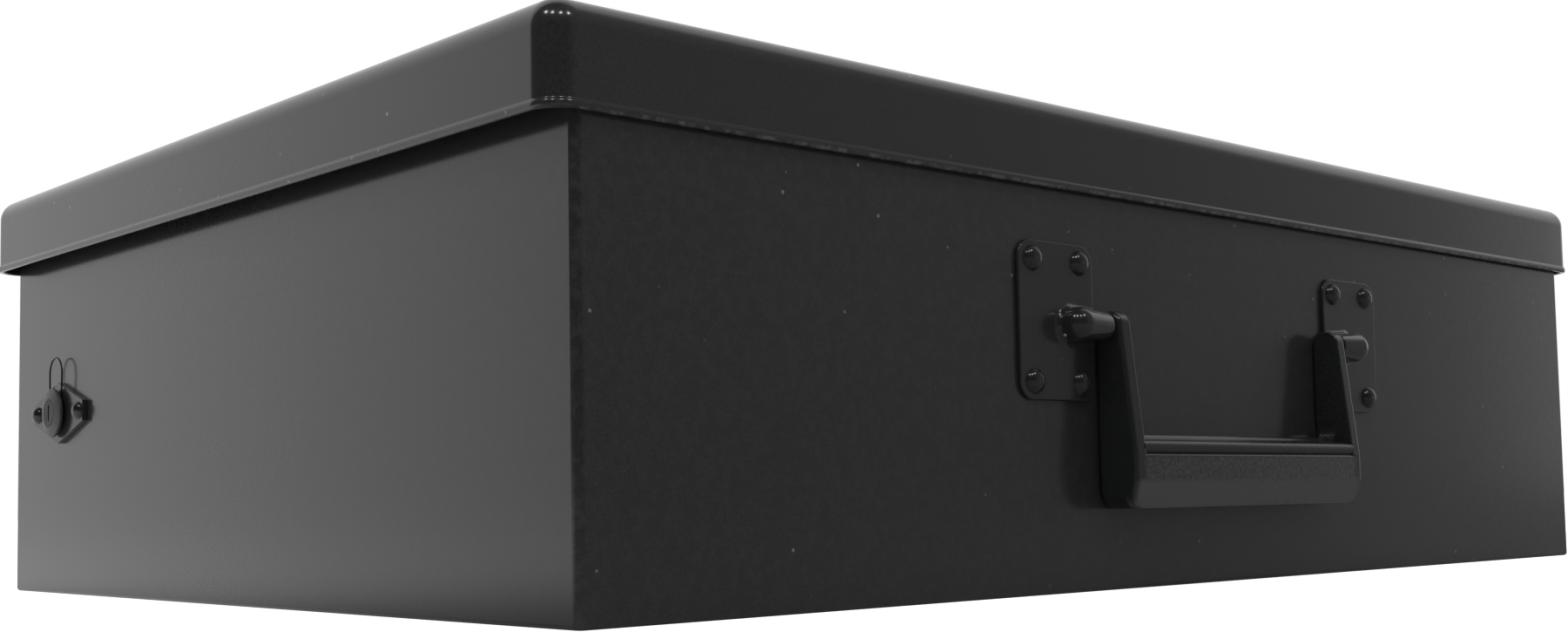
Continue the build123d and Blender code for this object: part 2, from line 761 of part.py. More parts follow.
with BuildPart() as lock_nut:
    with BuildSketch(lock_face.offset(-sheet - tooth_washer_thickness)):
        RegularPolygon(nut_across_flats / 2, 6, major_radius=False)
        Circle(barrel_radius + running_clearance, mode=Mode.SUBTRACT)
    extrude(amount=-nut_thickness)

# Lock plug: turns in the barrel, with a keyway, slots for the wafers and a square tail
cam_start = lock_depth + cam_gap
cam_end = cam_start + cam_thickness
square_end = cam_end - cam_gap
keyway_depth = wafer_first + wafer_count * wafer_pitch
wafer_half_height = plug_radius - 3 * wafer_clearance
wafer_outs = [face_out - wafer_first - n * wafer_pitch for n in range(wafer_count)]
with BuildPart() as lock_plug:
    with BuildSketch(lock_face.offset(face_out)):
        Circle(plug_flange_radius)
    extrude(amount=-plug_flange_thickness)
    with BuildSketch(lock_face.offset(collar_seat)):
        Circle(plug_radius)
    extrude(amount=-collar_seat - cam_start)
    with BuildSketch(lock_face.offset(-cam_start)):
        Rectangle(square_width, square_width)
    extrude(amount=cam_start - square_end)
    with BuildSketch(lock_face.offset(face_out)):
        Rectangle(keyway_width, keyway_height)
    extrude(amount=-keyway_depth, mode=Mode.SUBTRACT)
    for out in wafer_outs:
        with BuildSketch(lock_face.offset(out + wafer_clearance)):
            Rectangle(wafer_width + 2 * wafer_clearance, 3 * plug_radius)
        extrude(amount=-wafer_thickness - 2 * wafer_clearance, mode=Mode.SUBTRACT)
    with BuildSketch(lock_face.offset(-square_end)):
        Circle(cam_screw_radius + rivet_clearance)
    extrude(amount=cam_screw_length, mode=Mode.SUBTRACT)

with BuildPart() as lock_wafers:
    for out in wafer_outs:
        with BuildSketch(lock_face.offset(out)):
            Rectangle(wafer_width, 2 * wafer_half_height)
            Rectangle(wafer_window_width, wafer_window_height, mode=Mode.SUBTRACT)
        extrude(amount=-wafer_thickness)
    with BuildSketch(lock_face.offset(face_out)):
        Circle(plug_radius - wafer_clearance)
    extrude(amount=-keyway_depth, mode=Mode.INTERSECT)

# Cam arm: points to the front when open, and its hooked finger turns up into the keeper
finger_radius = (finger_inner_radius + finger_outer_radius) / 2
finger_angle = degrees(finger_reach / finger_radius)
with BuildPart() as lock_cam:
    with BuildSketch(lock_face.offset(-cam_start)):
        Circle(cam_boss_radius)
        with BuildLine():
            tip_x = sqrt(finger_outer_radius**2 - (cam_tip_width / 2) ** 2)
            Polyline(
                (0, -cam_width / 2),
                (tip_x, -cam_tip_width / 2),
                (tip_x, cam_tip_width / 2),
                (0, cam_width / 2),
                close=True,
            )
        make_face()
        with BuildLine():
            outer = CenterArc((0, 0), finger_outer_radius, 0, finger_angle)
            inner = CenterArc((0, 0), finger_inner_radius, 0, finger_angle)
            Line(outer @ 0, inner @ 0)
            Line(outer @ 1, inner @ 1)
        make_face()
        Rectangle(
            square_width + 2 * running_clearance, square_width + 2 * running_clearance,
            mode=Mode.SUBTRACT,
        )
    extrude(amount=-cam_thickness)

with BuildPart() as lock_cam_screw:
    with BuildSketch(lock_face.offset(-cam_end)):
        Circle(cam_screw_head_radius)
    extrude(amount=-cam_screw_head_height)
    with BuildSketch(lock_face.offset(-cam_end)):
        Circle(cam_screw_radius)
    extrude(amount=cam_screw_length)
    with BuildSketch(lock_face.offset(-cam_end - cam_screw_head_height)):
        Rectangle(2 * cam_screw_head_radius, cam_screw_radius / 2)
    extrude(amount=cam_screw_head_height / 2, mode=Mode.SUBTRACT)

# Keeper: a bracket under the lid with a window that the cam's finger enters
keeper_x = wall_left + cam_start + cam_thickness / 2
keeper_y = lock_y + keeper_offset
window_width = cam_thickness + 2 * keeper_window_side_gap
keeper_width = window_width + 2 * keeper_side
finger_low = lock_height + sqrt(
    finger_inner_radius**2 - (keeper_offset + keeper_thickness) ** 2
)
window_bottom = finger_low - keeper_play
keeper_bottom = window_bottom - keeper_bar
keeper_face = Plane(origin=(keeper_x, keeper_y, 0), x_dir=(-1, 0, 0), z_dir=(0, 1, 0))
with BuildPart() as lid_keeper:
    with BuildSketch(keeper_face):
        with Locations((0, (keeper_bottom + lid_underside) / 2)):
            Rectangle(keeper_width, lid_underside - keeper_bottom)
        with Locations((0, window_bottom + keeper_window_height / 2)):
            Rectangle(window_width, keeper_window_height, mode=Mode.SUBTRACT)
    extrude(amount=keeper_thickness)
    with BuildSketch(Plane.XY.offset(lid_underside)):
        with Locations((keeper_x, keeper_y + keeper_thickness)):
            Rectangle(keeper_width, keeper_foot, align=(Align.CENTER, Align.MAX))
    extrude(amount=-keeper_thickness)

pieces = {
    "body_bottom": body_bottom.part,
    "body_long_walls": body_long_walls.part,
    "body_end_walls": body_end_walls.part,
    "body_corners": body_corners.part,
    "body_long_flanges": body_long_flanges.part,
    "body_end_flanges": body_end_flanges.part,
    "lid_top": lid_top.part,
    "lid_long_skirts": lid_long_skirts.part,
    "lid_end_skirts": lid_end_skirts.part,
    "lid_long_folds": lid_long_folds.part,
    "lid_end_folds": lid_end_folds.part,
    "lid_corners": lid_corners.part,
    "lid_buffers": lid_buffers.part,
    "hinge_body_leaf": hinge_body_leaf.part,
    "hinge_lid_leaf": hinge_lid_leaf.part,
    "hinge_pin": hinge_pin.part,
    "hinge_body_rivets": hinge_body_rivets.part,
    "hinge_lid_rivets": hinge_lid_rivets.part,
    "handle_plate_left": handle_plates["left"],
    "handle_plate_right": handle_plates["right"],
    "handle_rivets_left": handle_rivets["left"],
    "handle_rivets_right": handle_rivets["right"],
    "handle_rivet_washers": handle_rivet_washers.part,
    "handle": handle.part,
    "handle_pivot_pin_left": pivot_pins["left"],
    "handle_pivot_pin_right": pivot_pins["right"],
    "lock_flange": lock_flange.part,
    "lock_flange_rivets": lock_flange_rivets.part,
    "lock_barrel": lock_barrel.part,
    "lock_wire_clip": lock_wire_clip.part,
    "lock_tooth_washer": lock_tooth_washer.part,
    "lock_nut": lock_nut.part,
    "lock_plug": lock_plug.part,
    "lock_wafers": lock_wafers.part,
    "lock_cam": lock_cam.part,
    "lock_cam_screw": lock_cam_screw.part,
    "lid_keeper": lid_keeper.part,
}
for name, piece in pieces.items():
    piece.label = name
    export_step(piece, f"parts/{name}.step")
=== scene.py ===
import math

import bmesh
import bpy
from mathutils import Matrix, Vector


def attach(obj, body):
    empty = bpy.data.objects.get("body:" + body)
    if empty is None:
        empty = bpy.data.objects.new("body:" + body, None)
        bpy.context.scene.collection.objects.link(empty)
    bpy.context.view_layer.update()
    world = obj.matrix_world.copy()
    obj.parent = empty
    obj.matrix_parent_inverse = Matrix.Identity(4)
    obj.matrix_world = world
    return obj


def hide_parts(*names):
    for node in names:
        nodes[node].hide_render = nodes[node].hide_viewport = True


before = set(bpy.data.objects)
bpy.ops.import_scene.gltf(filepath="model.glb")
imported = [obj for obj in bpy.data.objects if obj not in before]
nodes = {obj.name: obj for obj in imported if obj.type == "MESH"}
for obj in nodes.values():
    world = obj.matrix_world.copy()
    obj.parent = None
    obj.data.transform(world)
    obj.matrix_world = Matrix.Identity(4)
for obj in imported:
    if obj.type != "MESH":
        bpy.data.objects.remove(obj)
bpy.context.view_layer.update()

MM = 0.001


# Camera, in millimetres from the middle of the body's underside

PHOTO_WIDTH = 1800
PHOTO_HEIGHT = 725
SENSOR = 36.0
FOCAL_PIXELS = 2030.0
HORIZON_CENTRE = 440.0
CAMERA_PLACE = Vector((-426.4, -441.6, 25.1)) * MM
CAMERA_YAW = math.radians(42.456)
CAMERA_PITCH = math.radians(3.756)
CAMERA_ROLL = math.radians(-1.009)
CAMERA_NEAREST = 0.01


def make_camera():
    """A camera where the photograph was taken from, with the same lens and framing."""
    yaw, pitch, roll = CAMERA_YAW, CAMERA_PITCH, CAMERA_ROLL
    reach = math.cos(pitch)
    ahead = Vector((math.sin(yaw) * reach, math.cos(yaw) * reach, math.sin(pitch)))
    level = Vector((math.cos(yaw), -math.sin(yaw), 0.0))
    upright = level.cross(ahead)
    right = level * math.cos(roll) + upright * math.sin(roll)
    up = upright * math.cos(roll) - level * math.sin(roll)
    data = bpy.data.cameras.new("photo_camera")
    data.sensor_width = SENSOR
    data.lens = FOCAL_PIXELS / PHOTO_WIDTH * SENSOR
    data.shift_y = (HORIZON_CENTRE - PHOTO_HEIGHT / 2) / PHOTO_WIDTH
    data.clip_start = CAMERA_NEAREST
    camera = bpy.data.objects.new("photo_camera", data)
    turn = Matrix((right, up, -ahead)).transposed().to_4x4()
    camera.matrix_world = Matrix.Translation(CAMERA_PLACE) @ turn
    bpy.context.scene.collection.objects.link(camera)
    bpy.context.scene.camera = camera


make_camera()


# Shader node tools

# The socket numbers of a Mix node for each kind of value: factor, first, second, result
MIX_SOCKETS = {"FLOAT": (0, 2, 3, 0), "RGBA": (0, 6, 7, 2)}


def feed(tree, socket, value):
    """Sets an input to a number or an RGB colour, or links a socket to it."""
    if isinstance(value, tuple):
        socket.default_value = (*value, 1.0)
    elif isinstance(value, (int, float)):
        socket.default_value = value
    else:
        tree.links.new(value, socket)


def math_node(tree, operation, first, second):
    """A Math node that joins two sockets or numbers."""
    node = tree.nodes.new("ShaderNodeMath")
    node.operation = operation
    feed(tree, node.inputs[0], first)
    feed(tree, node.inputs[1], second)
    return node.outputs[0]


def product(tree, first, *others):
    """Multiplies sockets or numbers."""
    for other in others:
        first = math_node(tree, "MULTIPLY", first, other)
    return first


def spread(tree, value, low, high, to_low=0.0, to_high=1.0):
    """Maps a value smoothly from one range to another, held at both ends."""
    node = tree.nodes.new("ShaderNodeMapRange")
    node.interpolation_type = "SMOOTHSTEP"
    feed(tree, node.inputs["Value"], value)
    feed(tree, node.inputs["From Min"], low)
    feed(tree, node.inputs["From Max"], high)
    feed(tree, node.inputs["To Min"], to_low)
    feed(tree, node.inputs["To Max"], to_high)
    return node.outputs["Result"]


def mix(tree, kind, factor, first, second):
    """Mixes two numbers (FLOAT) or two colours (RGBA), each a value or a socket."""
    node = tree.nodes.new("ShaderNodeMix")
    node.data_type = kind
    *places, result = MIX_SOCKETS[kind]
    for number, value in zip(places, (factor, first, second)):
        feed(tree, node.inputs[number], value)
    return node.outputs[result]


def split_place(tree, vector):
    """The X, Y and Z of a place, as sockets with those names."""
    split = tree.nodes.new("ShaderNodeSeparateXYZ")
    tree.links.new(vector, split.inputs[0])
    return split.outputs


def ray_share(tree, *kinds):
    """1 for light path rays of the named kinds, and 0 for the rest."""
    path = tree.nodes.new("ShaderNodeLightPath").outputs
    share = path[kinds[0]]
    for kind in kinds[1:]:
        share = math_node(tree, "MAXIMUM", share, path[kind])
    return share


# Light: small lamps overhead, a white backdrop behind the box and a dim room in front

LAMP_TURNS = (5, 30, 60, 90)
LAMP_REACH = 1.3
LAMP_HEIGHT = 1.5
LAMP_AIM = Vector((-0.1, -0.1, 0.1))
LAMP_SIZE = 0.18
LAMP_POWER = 3.0
MATTE_LIGHT = 0.7
BACKDROP_TURN = math.radians(53.5)
BACKDROP_EDGE = (0.17, 0.28)
BACKDROP_WHITE = 0.82
ROOM_EDGE = (-0.2, 0.5)
ROOM_LEFT = 0.02
ROOM_RIGHT = 0.2


def hang_lamp(turn):
    """A small square softbox, high up, turned from the left end towards the front."""
    swing = math.radians(turn)
    name = "top_light_" + str(turn)
    data = bpy.data.lights.new(name, "AREA")
    data.shape = "RECTANGLE"
    data.size, data.size_y = LAMP_SIZE, LAMP_SIZE
    data.energy = LAMP_POWER
    lamp = bpy.data.objects.new(name, data)
    spot = Vector((-LAMP_REACH * math.cos(swing), -LAMP_REACH * math.sin(swing), LAMP_HEIGHT))
    lamp.location = spot
    lamp.rotation_euler = (LAMP_AIM - spot).to_track_quat("-Z", "Y").to_euler()
    bpy.context.scene.collection.objects.link(lamp)


def make_world():
    """A wide white backdrop behind the box and a dim room in front of it.

    The camera sees white all round. Matte surfaces are lit evenly, and mirrored light
    has the backdrop's white at the back and the dim room at the front.
    """
    world = bpy.data.worlds.new("studio")
    bpy.context.scene.world = world
    world.use_nodes = True
    tree = world.node_tree
    way = tree.nodes.new("ShaderNodeTexCoord").outputs["Generated"]
    heading = tree.nodes.new("ShaderNodeVectorMath")
    heading.operation = "DOT_PRODUCT"
    tree.links.new(way, heading.inputs[0])
    heading.inputs[1].default_value = (math.cos(BACKDROP_TURN), math.sin(BACKDROP_TURN), 0.0)
    room = spread(tree, split_place(tree, way)["X"], *ROOM_EDGE, ROOM_LEFT, ROOM_RIGHT)
    wall = spread(tree, heading.outputs["Value"], *BACKDROP_EDGE, room, BACKDROP_WHITE)
    glossy = ray_share(tree, "Is Glossy Ray", "Is Transmission Ray")
    lit = mix(tree, "FLOAT", glossy, MATTE_LIGHT, wall)
    seen = mix(tree, "FLOAT", ray_share(tree, "Is Camera Ray"), lit, 1.0)
    background = tree.nodes["Background"]
    background.inputs["Color"].default_value = (1.0, 1.0, 1.0, 1.0)
    tree.links.new(seen, background.inputs["Strength"])


for turn in LAMP_TURNS:
    hang_lamp(turn)
make_world()
bpy.context.scene.view_settings.view_transform = "Standard"


# Shaping tools, with lengths in millimetres

SMOOTH_ANGLE = math.radians(35.0)
SHARP_ANGLE = math.radians(32.0)
FLAT_ANGLE = math.radians(1.0)
SOFT_SEGMENTS = 3
FLAT_WEIGHT = 100
WELD = 0.004


def choose(piece):
    """Makes one piece the only selected object, and the active one."""
    bpy.ops.object.select_all(action="DESELECT")
    piece.select_set(True)
    bpy.context.view_layer.objects.active = piece


def open_edit(piece):
    """Opens edit mode on one piece with nothing in it selected."""
    choose(piece)
    bpy.ops.object.mode_set(mode="EDIT")
    bpy.ops.mesh.select_all(action="DESELECT")


def close_edit():
    """Leaves edit mode."""
    bpy.ops.object.mode_set(mode="OBJECT")


def pick(kind, test):
    """Selects only the faces, edges or vertices that pass the test, in edit mode."""
    bpy.ops.mesh.select_mode(type=kind)
    bpy.ops.mesh.select_all(action="DESELECT")
    mesh = bmesh.from_edit_mesh(bpy.context.edit_object.data)
    parts = {"VERT": mesh.verts, "EDGE": mesh.edges, "FACE": mesh.faces}[kind]
    for part in parts:
        if test(part):
            part.select_set(True)
    mesh.select_flush_mode()
    bmesh.update_edit_mesh(bpy.context.edit_object.data)


def block(name, low, high):
    """A block between two corners, with its place in its mesh."""
    low, high = Vector(low) * MM, Vector(high) * MM
    bpy.ops.object.select_all(action="DESELECT")
    bpy.ops.mesh.primitive_cube_add(size=1.0, location=(low + high) / 2)
    piece = bpy.context.object
    piece.name = name
    piece.scale = high - low
    bpy.ops.object.transform_apply(location=True, rotation=True, scale=True)
    return piece


def round_edges(test, radius, segments):
    """Rounds the edges that pass the test, in edit mode."""
    pick("EDGE", test)
    bpy.ops.mesh.bevel(offset=radius * MM, segments=segments, affect="EDGES")


def stands(edge):
    """True for an upright edge, over a millimetre high."""
    return abs(edge.verts[0].co.z - edge.verts[1].co.z) > MM


def open_mouth(test):
    """Deletes the faces that pass the test and selects the rim that this leaves."""
    pick("FACE", test)
    bpy.ops.mesh.delete(type="FACE")
    pick("EDGE", lambda e: e.is_boundary)


def draw_rim(half_length, half_depth, start, steps):
    """Draws the selected open rim on through (offset, height) steps, then closes it."""
    offset, height = start
    for next_offset, next_height in steps:
        rise = (next_height - height) * MM
        bpy.ops.mesh.extrude_region_move(TRANSFORM_OT_translate={"value": (0.0, 0.0, rise)})
        bpy.ops.transform.resize(
            value=(
                (half_length + next_offset) / (half_length + offset),
                (half_depth + next_offset) / (half_depth + offset),
                1.0,
            ),
            center_override=(0.0, 0.0, next_height * MM),
        )
        offset, height = next_offset, next_height
    bpy.ops.mesh.edge_face_add()


def finish_surface(piece):
    """Smooth shading over bends, with the flat faces kept flat."""
    choose(piece)
    bpy.ops.object.shade_smooth_by_angle(angle=SMOOTH_ANGLE)
    level = piece.modifiers.new("even_shading", "WEIGHTED_NORMAL")
    level.keep_sharp = True
    level.weight = FLAT_WEIGHT
    bpy.ops.object.modifier_apply(modifier=level.name)


def place(piece, body, slot, *replaced):
    """A finished piece rides on its body and stands for its CAD nodes."""
    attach(piece, body)
    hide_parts(*replaced)


def soften(node, body, slot, radius):
    """A copy of a CAD node with its sharp edges rounded, which stands for the node."""
    mesh = nodes[node].data.copy()
    piece = bpy.data.objects.new(node + "_formed", mesh)
    bpy.context.scene.collection.objects.link(piece)
    open_edit(piece)
    bpy.ops.mesh.select_all(action="SELECT")
    bpy.ops.mesh.remove_doubles(threshold=WELD * MM)
    bpy.ops.mesh.dissolve_limited(angle_limit=FLAT_ANGLE)
    close_edit()
    edge = piece.modifiers.new("edges", "BEVEL")
    edge.width = radius * MM
    edge.segments = SOFT_SEGMENTS
    edge.limit_method = "ANGLE"
    edge.angle_limit = SHARP_ANGLE
    edge.use_clamp_overlap = True
    bpy.ops.object.modifier_apply(modifier=edge.name)
    finish_surface(piece)
    place(piece, body, slot, node)
    return piece


# Lid and body: folded sheet with rounded bends, in millimetres

SHEET = 0.9
SKIRT = (228.1, 158.35)
WALL = (221.0, 156.25)
RIM = 103.4
HEM_TOP = RIM + 2.4
LID_TOP = 127.0
BODY_TOP = 123.3
HINGE_HALF = 207.0
NEAR = 0.1
HAIR = 0.01
FACING = 0.9

# Each bend's radius and number of segments
LID_CORNER = (7.0, 9)
LID_EDGE = (6.5, 8)
LID_INNER_EDGE = (5.6, 6)
BODY_CORNER = (2.2, 6)
BODY_FOLD = (1.1, 4)

# The rolled hem of the lid and the folded lip of the body, as (offset, height) steps
LID_HEM = [
    (0.08, RIM + 2.05), (0.26, RIM + 1.75), (0.37, RIM + 1.4), (0.4, RIM + 1.0),
    (0.37, RIM + 0.6), (0.26, RIM + 0.27), (0.06, RIM + 0.07), (-0.2, RIM),
    (-0.5, RIM + 0.03), (-0.75, RIM + 0.2), (-SHEET, RIM + 0.55),
    (-SHEET, LID_TOP - SHEET),
]
BODY_LIP = [
    (-0.1, BODY_TOP - 0.5), (-0.35, BODY_TOP - 0.2), (-0.8, BODY_TOP),
    (-9.2, BODY_TOP), (-9.65, BODY_TOP - 0.2), (-9.9, BODY_TOP - 0.5),
    (-10.0, BODY_TOP - SHEET), (-10.0, BODY_TOP - 4.75), (-9.85, BODY_TOP - 4.9),
    (-9.25, BODY_TOP - 4.9), (-9.1, BODY_TOP - 4.75), (-9.1, BODY_TOP - SHEET),
    (-SHEET, BODY_TOP - SHEET), (-SHEET, SHEET),
]


def model_lid():
    """The drawn lid with its rolled hem, which lies flat behind the hinge."""
    lid = block("lid_shell", (-SKIRT[0], -SKIRT[1], HEM_TOP), (SKIRT[0], SKIRT[1], LID_TOP))
    open_edit(lid)
    round_edges(stands, *LID_CORNER)
    round_edges(lambda e: min(v.co.z for v in e.verts) > (LID_TOP - NEAR) * MM, *LID_EDGE)
    open_mouth(lambda f: f.normal.z < -FACING)
    draw_rim(*SKIRT, (0.0, HEM_TOP), LID_HEM)
    inner_top = (LID_TOP - SHEET) * MM
    round_edges(
        lambda e: all(abs(v.co.z - inner_top) < HAIR * MM for v in e.verts), *LID_INNER_EDGE
    )
    for end in (-HINGE_HALF, HINGE_HALF):
        bpy.ops.mesh.select_all(action="SELECT")
        bpy.ops.mesh.bisect(plane_co=(end * MM, 0.0, 0.0), plane_no=(1.0, 0.0, 0.0))
    pick("VERT", lambda v: v.co.y > (SKIRT[1] + HAIR) * MM
         and abs(v.co.x) < (HINGE_HALF + NEAR) * MM)
    bpy.ops.transform.resize(value=(1.0, 0.0, 1.0), center_override=(0.0, SKIRT[1] * MM, 0.0))
    close_edit()
    finish_surface(lid)
    place(lid, "lid", "lid_paint", "lid_top", "lid_long_skirts", "lid_end_skirts",
          "lid_long_folds", "lid_end_folds", "lid_corners")
    return lid


def model_body():
    """The folded body with a flange and a lip round its mouth."""
    start = BODY_TOP - SHEET
    body = block("body_shell", (-WALL[0], -WALL[1], 0.0), (WALL[0], WALL[1], start))
    open_edit(body)
    round_edges(stands, *BODY_CORNER)
    round_edges(lambda e: max(v.co.z for v in e.verts) < NEAR * MM, *BODY_FOLD)
    open_mouth(lambda f: f.normal.z > FACING)
    draw_rim(*WALL, (0.0, start), BODY_LIP)
    close_edit()
    finish_surface(body)
    place(body, "box", "body_paint", "body_bottom", "body_long_walls", "body_end_walls",
          "body_corners", "body_long_flanges", "body_end_flanges")
    return body


lid = model_lid()
body = model_body()


# Fittings: the CAD shapes with their edges rounded as pressed and painted metal has them

PLATE_EDGE = 0.4
FITTING_EDGE = 0.25
HEAD_EDGE = 0.2

plate_left = soften("handle_plate_left", "box", "fitting_paint", PLATE_EDGE)
plate_right = soften("handle_plate_right", "box", "fitting_paint", PLATE_EDGE)
flange = soften("lock_flange", "box", "fitting_paint", FITTING_EDGE)
lock_head = soften("lock_barrel", "box", "lock_black", HEAD_EDGE)
keeper = soften("lid_keeper", "lid", "keeper_steel", FITTING_EDGE)
nut = soften("lock_nut", "box", "bright_steel", FITTING_EDGE)
cam = soften("lock_cam", "lock_rotor", "bright_steel", FITTING_EDGE)


# Shader groups: powder coat, dust and rubbed edges

PEEL_SHARE = 0.7
SPECKLE_SHARE = 0.3
SPECKLE_RANGE = (0.35, 0.65)
DRIFT_SCALE = 9.0
NOISE_MIDDLE = (0.3, 0.7)
DUST_DOT = (0.1, 0.05)
CHIP_SCALE = 420.0
CHIP_RANGE = (0.4, 0.65)
BEND_RANGE = (0.52, 0.6)


def start_group(name, *inputs, outputs):
    """A new node group with a place to work from: itself, its input and its output."""
    group = bpy.data.node_groups.new(name, "ShaderNodeTree")
    group.interface.new_socket(name="Vector", in_out="INPUT", socket_type="NodeSocketVector")
    for label, value in inputs:
        socket = group.interface.new_socket(
            name=label, in_out="INPUT", socket_type="NodeSocketFloat")
        socket.default_value = value
    for label in outputs:
        group.interface.new_socket(name=label, in_out="OUTPUT", socket_type="NodeSocketFloat")
    given = group.nodes.new("NodeGroupInput").outputs
    result = group.nodes.new("NodeGroupOutput").inputs
    return group, given, result


def noise(tree, vector, scale, detail=2.0, roughness=0.5):
    """A noise value at a place, with the scale given as a number or a socket."""
    node = tree.nodes.new("ShaderNodeTexNoise")
    tree.links.new(vector, node.inputs["Vector"])
    feed(tree, node.inputs["Scale"], scale)
    node.inputs["Detail"].default_value = detail
    node.inputs["Roughness"].default_value = roughness
    return node.outputs["Fac"]


def make_powder_group():
    """Powder coat: a fine orange peel, a tone that drifts and a fine speckle."""
    group, given, result = start_group(
        "powder_coat", ("Peel Scale", 700.0), ("Speckle Scale", 2600.0),
        outputs=("Height", "Tone", "Speckle"))
    peel = noise(group, given["Vector"], given["Peel Scale"])
    grain = noise(group, given["Vector"], given["Speckle Scale"], detail=1.0)
    drift = noise(group, given["Vector"], DRIFT_SCALE, detail=4.0)
    height = math_node(group, "ADD", product(group, peel, PEEL_SHARE),
                       product(group, grain, SPECKLE_SHARE))
    group.links.new(height, result["Height"])
    group.links.new(spread(group, drift, *NOISE_MIDDLE), result["Tone"])
    group.links.new(spread(group, grain, *SPECKLE_RANGE), result["Speckle"])
    return group


def make_dust_group():
    """Scattered pale specks: a few cells of a fine pattern hold one small dot each."""
    group, given, result = start_group(
        "dust_specks", ("Scale", 170.0), ("Share", 0.2), outputs=("Mask",))
    cells = group.nodes.new("ShaderNodeTexVoronoi")
    group.links.new(given["Vector"], cells.inputs["Vector"])
    group.links.new(given["Scale"], cells.inputs["Scale"])
    dot = spread(group, cells.outputs["Distance"], *DUST_DOT)
    split = group.nodes.new("ShaderNodeSeparateColor")
    group.links.new(cells.outputs["Color"], split.inputs["Color"])
    kept = math_node(group, "LESS_THAN", split.outputs["Red"], given["Share"])
    faint = product(group, kept, split.outputs["Green"])
    group.links.new(product(group, dot, faint), result["Mask"])
    return group


def make_rub_group():
    """Rubbed edges: where the surface bends outwards, broken up by a fine noise."""
    group, given, result = start_group("rubbed_edges", outputs=("Mask",))
    shape = group.nodes.new("ShaderNodeNewGeometry")
    edge = spread(group, shape.outputs["Pointiness"], *BEND_RANGE)
    chips = noise(group, given["Vector"], CHIP_SCALE, detail=3.0)
    broken = spread(group, chips, *CHIP_RANGE)
    group.links.new(product(group, edge, broken), result["Mask"])
    return group


powder_coat = make_powder_group()
dust_specks = make_dust_group()
rubbed_edges = make_rub_group()


def use_group(tree, group, vector, **values):
    """Places a node group in a material with its own values, and gives its outputs."""
    node = tree.nodes.new("ShaderNodeGroup")
    node.node_tree = group
    tree.links.new(vector, node.inputs["Vector"])
    for name, value in values.items():
        node.inputs[name.replace("_", " ").title()].default_value = value
    return node.outputs


# Paint

COAT_ROUGHNESS = 0.16
SPECKLE_SHOWS = 0.5
SPECKLE_LIGHTER = 1.7
SPECKLE_ROUGHER = 0.1
RUBBED_COLOUR = (0.16, 0.16, 0.155)
DUST_SHOWS = 0.7
DUST_COLOUR = (0.3, 0.3, 0.28)
PEEL_STRENGTH = 0.6


def start_material(name):
    """A new material: itself, its tree, its shader's inputs and its object coordinates."""
    material = bpy.data.materials.new(name)
    material.use_nodes = True
    tree = material.node_tree
    shader = tree.nodes["Principled BSDF"].inputs
    vector = tree.nodes.new("ShaderNodeTexCoord").outputs["Object"]
    return material, tree, shader, vector


def add_bump(tree, shader, height, distance, strength):
    """A bump in millimetres that feeds the shader's normal."""
    bump = tree.nodes.new("ShaderNodeBump")
    bump.inputs["Distance"].default_value = distance * MM
    bump.inputs["Strength"].default_value = strength
    tree.links.new(height, bump.inputs["Height"])
    tree.links.new(bump.outputs["Normal"], shader["Normal"])


def painted(name, tones, gloss, grain, peel_depth, dust=0.0, rub=0.0, sheen=0.5,
            coat_weight=0.0, region=None):
    """Black paint over steel: two tones, a gloss range, orange peel, dust and rubbed edges.

    The grain is the scale of the orange peel and of its speckle. A region, if given, is a
    function that changes the roughness and the colour of a part of the surface.
    """
    material, tree, shader, vector = start_material(name)
    shader["Specular IOR Level"].default_value = sheen
    shader["Coat Weight"].default_value = coat_weight
    shader["Coat Roughness"].default_value = COAT_ROUGHNESS
    deep, pale = tones
    peel, speckle = grain
    coat = use_group(tree, powder_coat, vector, peel_scale=peel, speckle_scale=speckle)
    specks = use_group(tree, dust_specks, vector, share=dust)
    edges = use_group(tree, rubbed_edges, vector)
    colour = mix(tree, "RGBA", coat["Tone"], deep, pale)
    layers = (
        (coat["Speckle"], SPECKLE_SHOWS, tuple(SPECKLE_LIGHTER * c for c in pale)),
        (edges["Mask"], rub, RUBBED_COLOUR),
        (specks["Mask"], DUST_SHOWS, DUST_COLOUR),
    )
    for mask, shows, tint in layers:
        colour = mix(tree, "RGBA", product(tree, mask, shows), colour, tint)
    rough = spread(tree, coat["Tone"], 0.0, 1.0, *gloss)
    rough = math_node(tree, "ADD", rough, product(tree, coat["Speckle"], SPECKLE_ROUGHER))
    if region:
        rough, colour = region(tree, vector, rough, colour)
    tree.links.new(colour, shader["Base Color"])
    tree.links.new(rough, shader["Roughness"])
    add_bump(tree, shader, coat["Height"], peel_depth, PEEL_STRENGTH)
    return material


# Parts of the paint that differ, in millimetres. Each OUT pair says where along Y the part
# starts and where it is full.

BARREL_OUT = (-157.5, -158.1)
BARREL_SLEEKER = 0.55
GRIP_OUT = (-168.2, -168.7)
GRIP_FACE = (28.4, 34.7)
GRIP_HALF = 51.5
GRIP_SOFT = 1.0
GRIP_GRAIN = 900.0
GRIP_DULLER = 0.16
GRIP_DUST_SHOWS = 0.6
GRIP_DUST = (0.055, 0.055, 0.053)
# The grip's lower face gets a painted reflection: a paler colour standing in for the bright floor
# that it mirrors.
UNDER_OUT = (-164.0, -165.0)
UNDER_FACE = (20.0, 28.4)
UNDER_HALF = 54.2
UNDER_SOFT = 0.8
UNDER_END_SOFT = 1.2
UNDER_PAINTED_REFLECTION = (0.042, 0.042, 0.041)


def past(tree, coordinate, edge):
    """0 before the first of two values in millimetres and 1 past the second."""
    return spread(tree, coordinate, edge[0] * MM, edge[1] * MM)


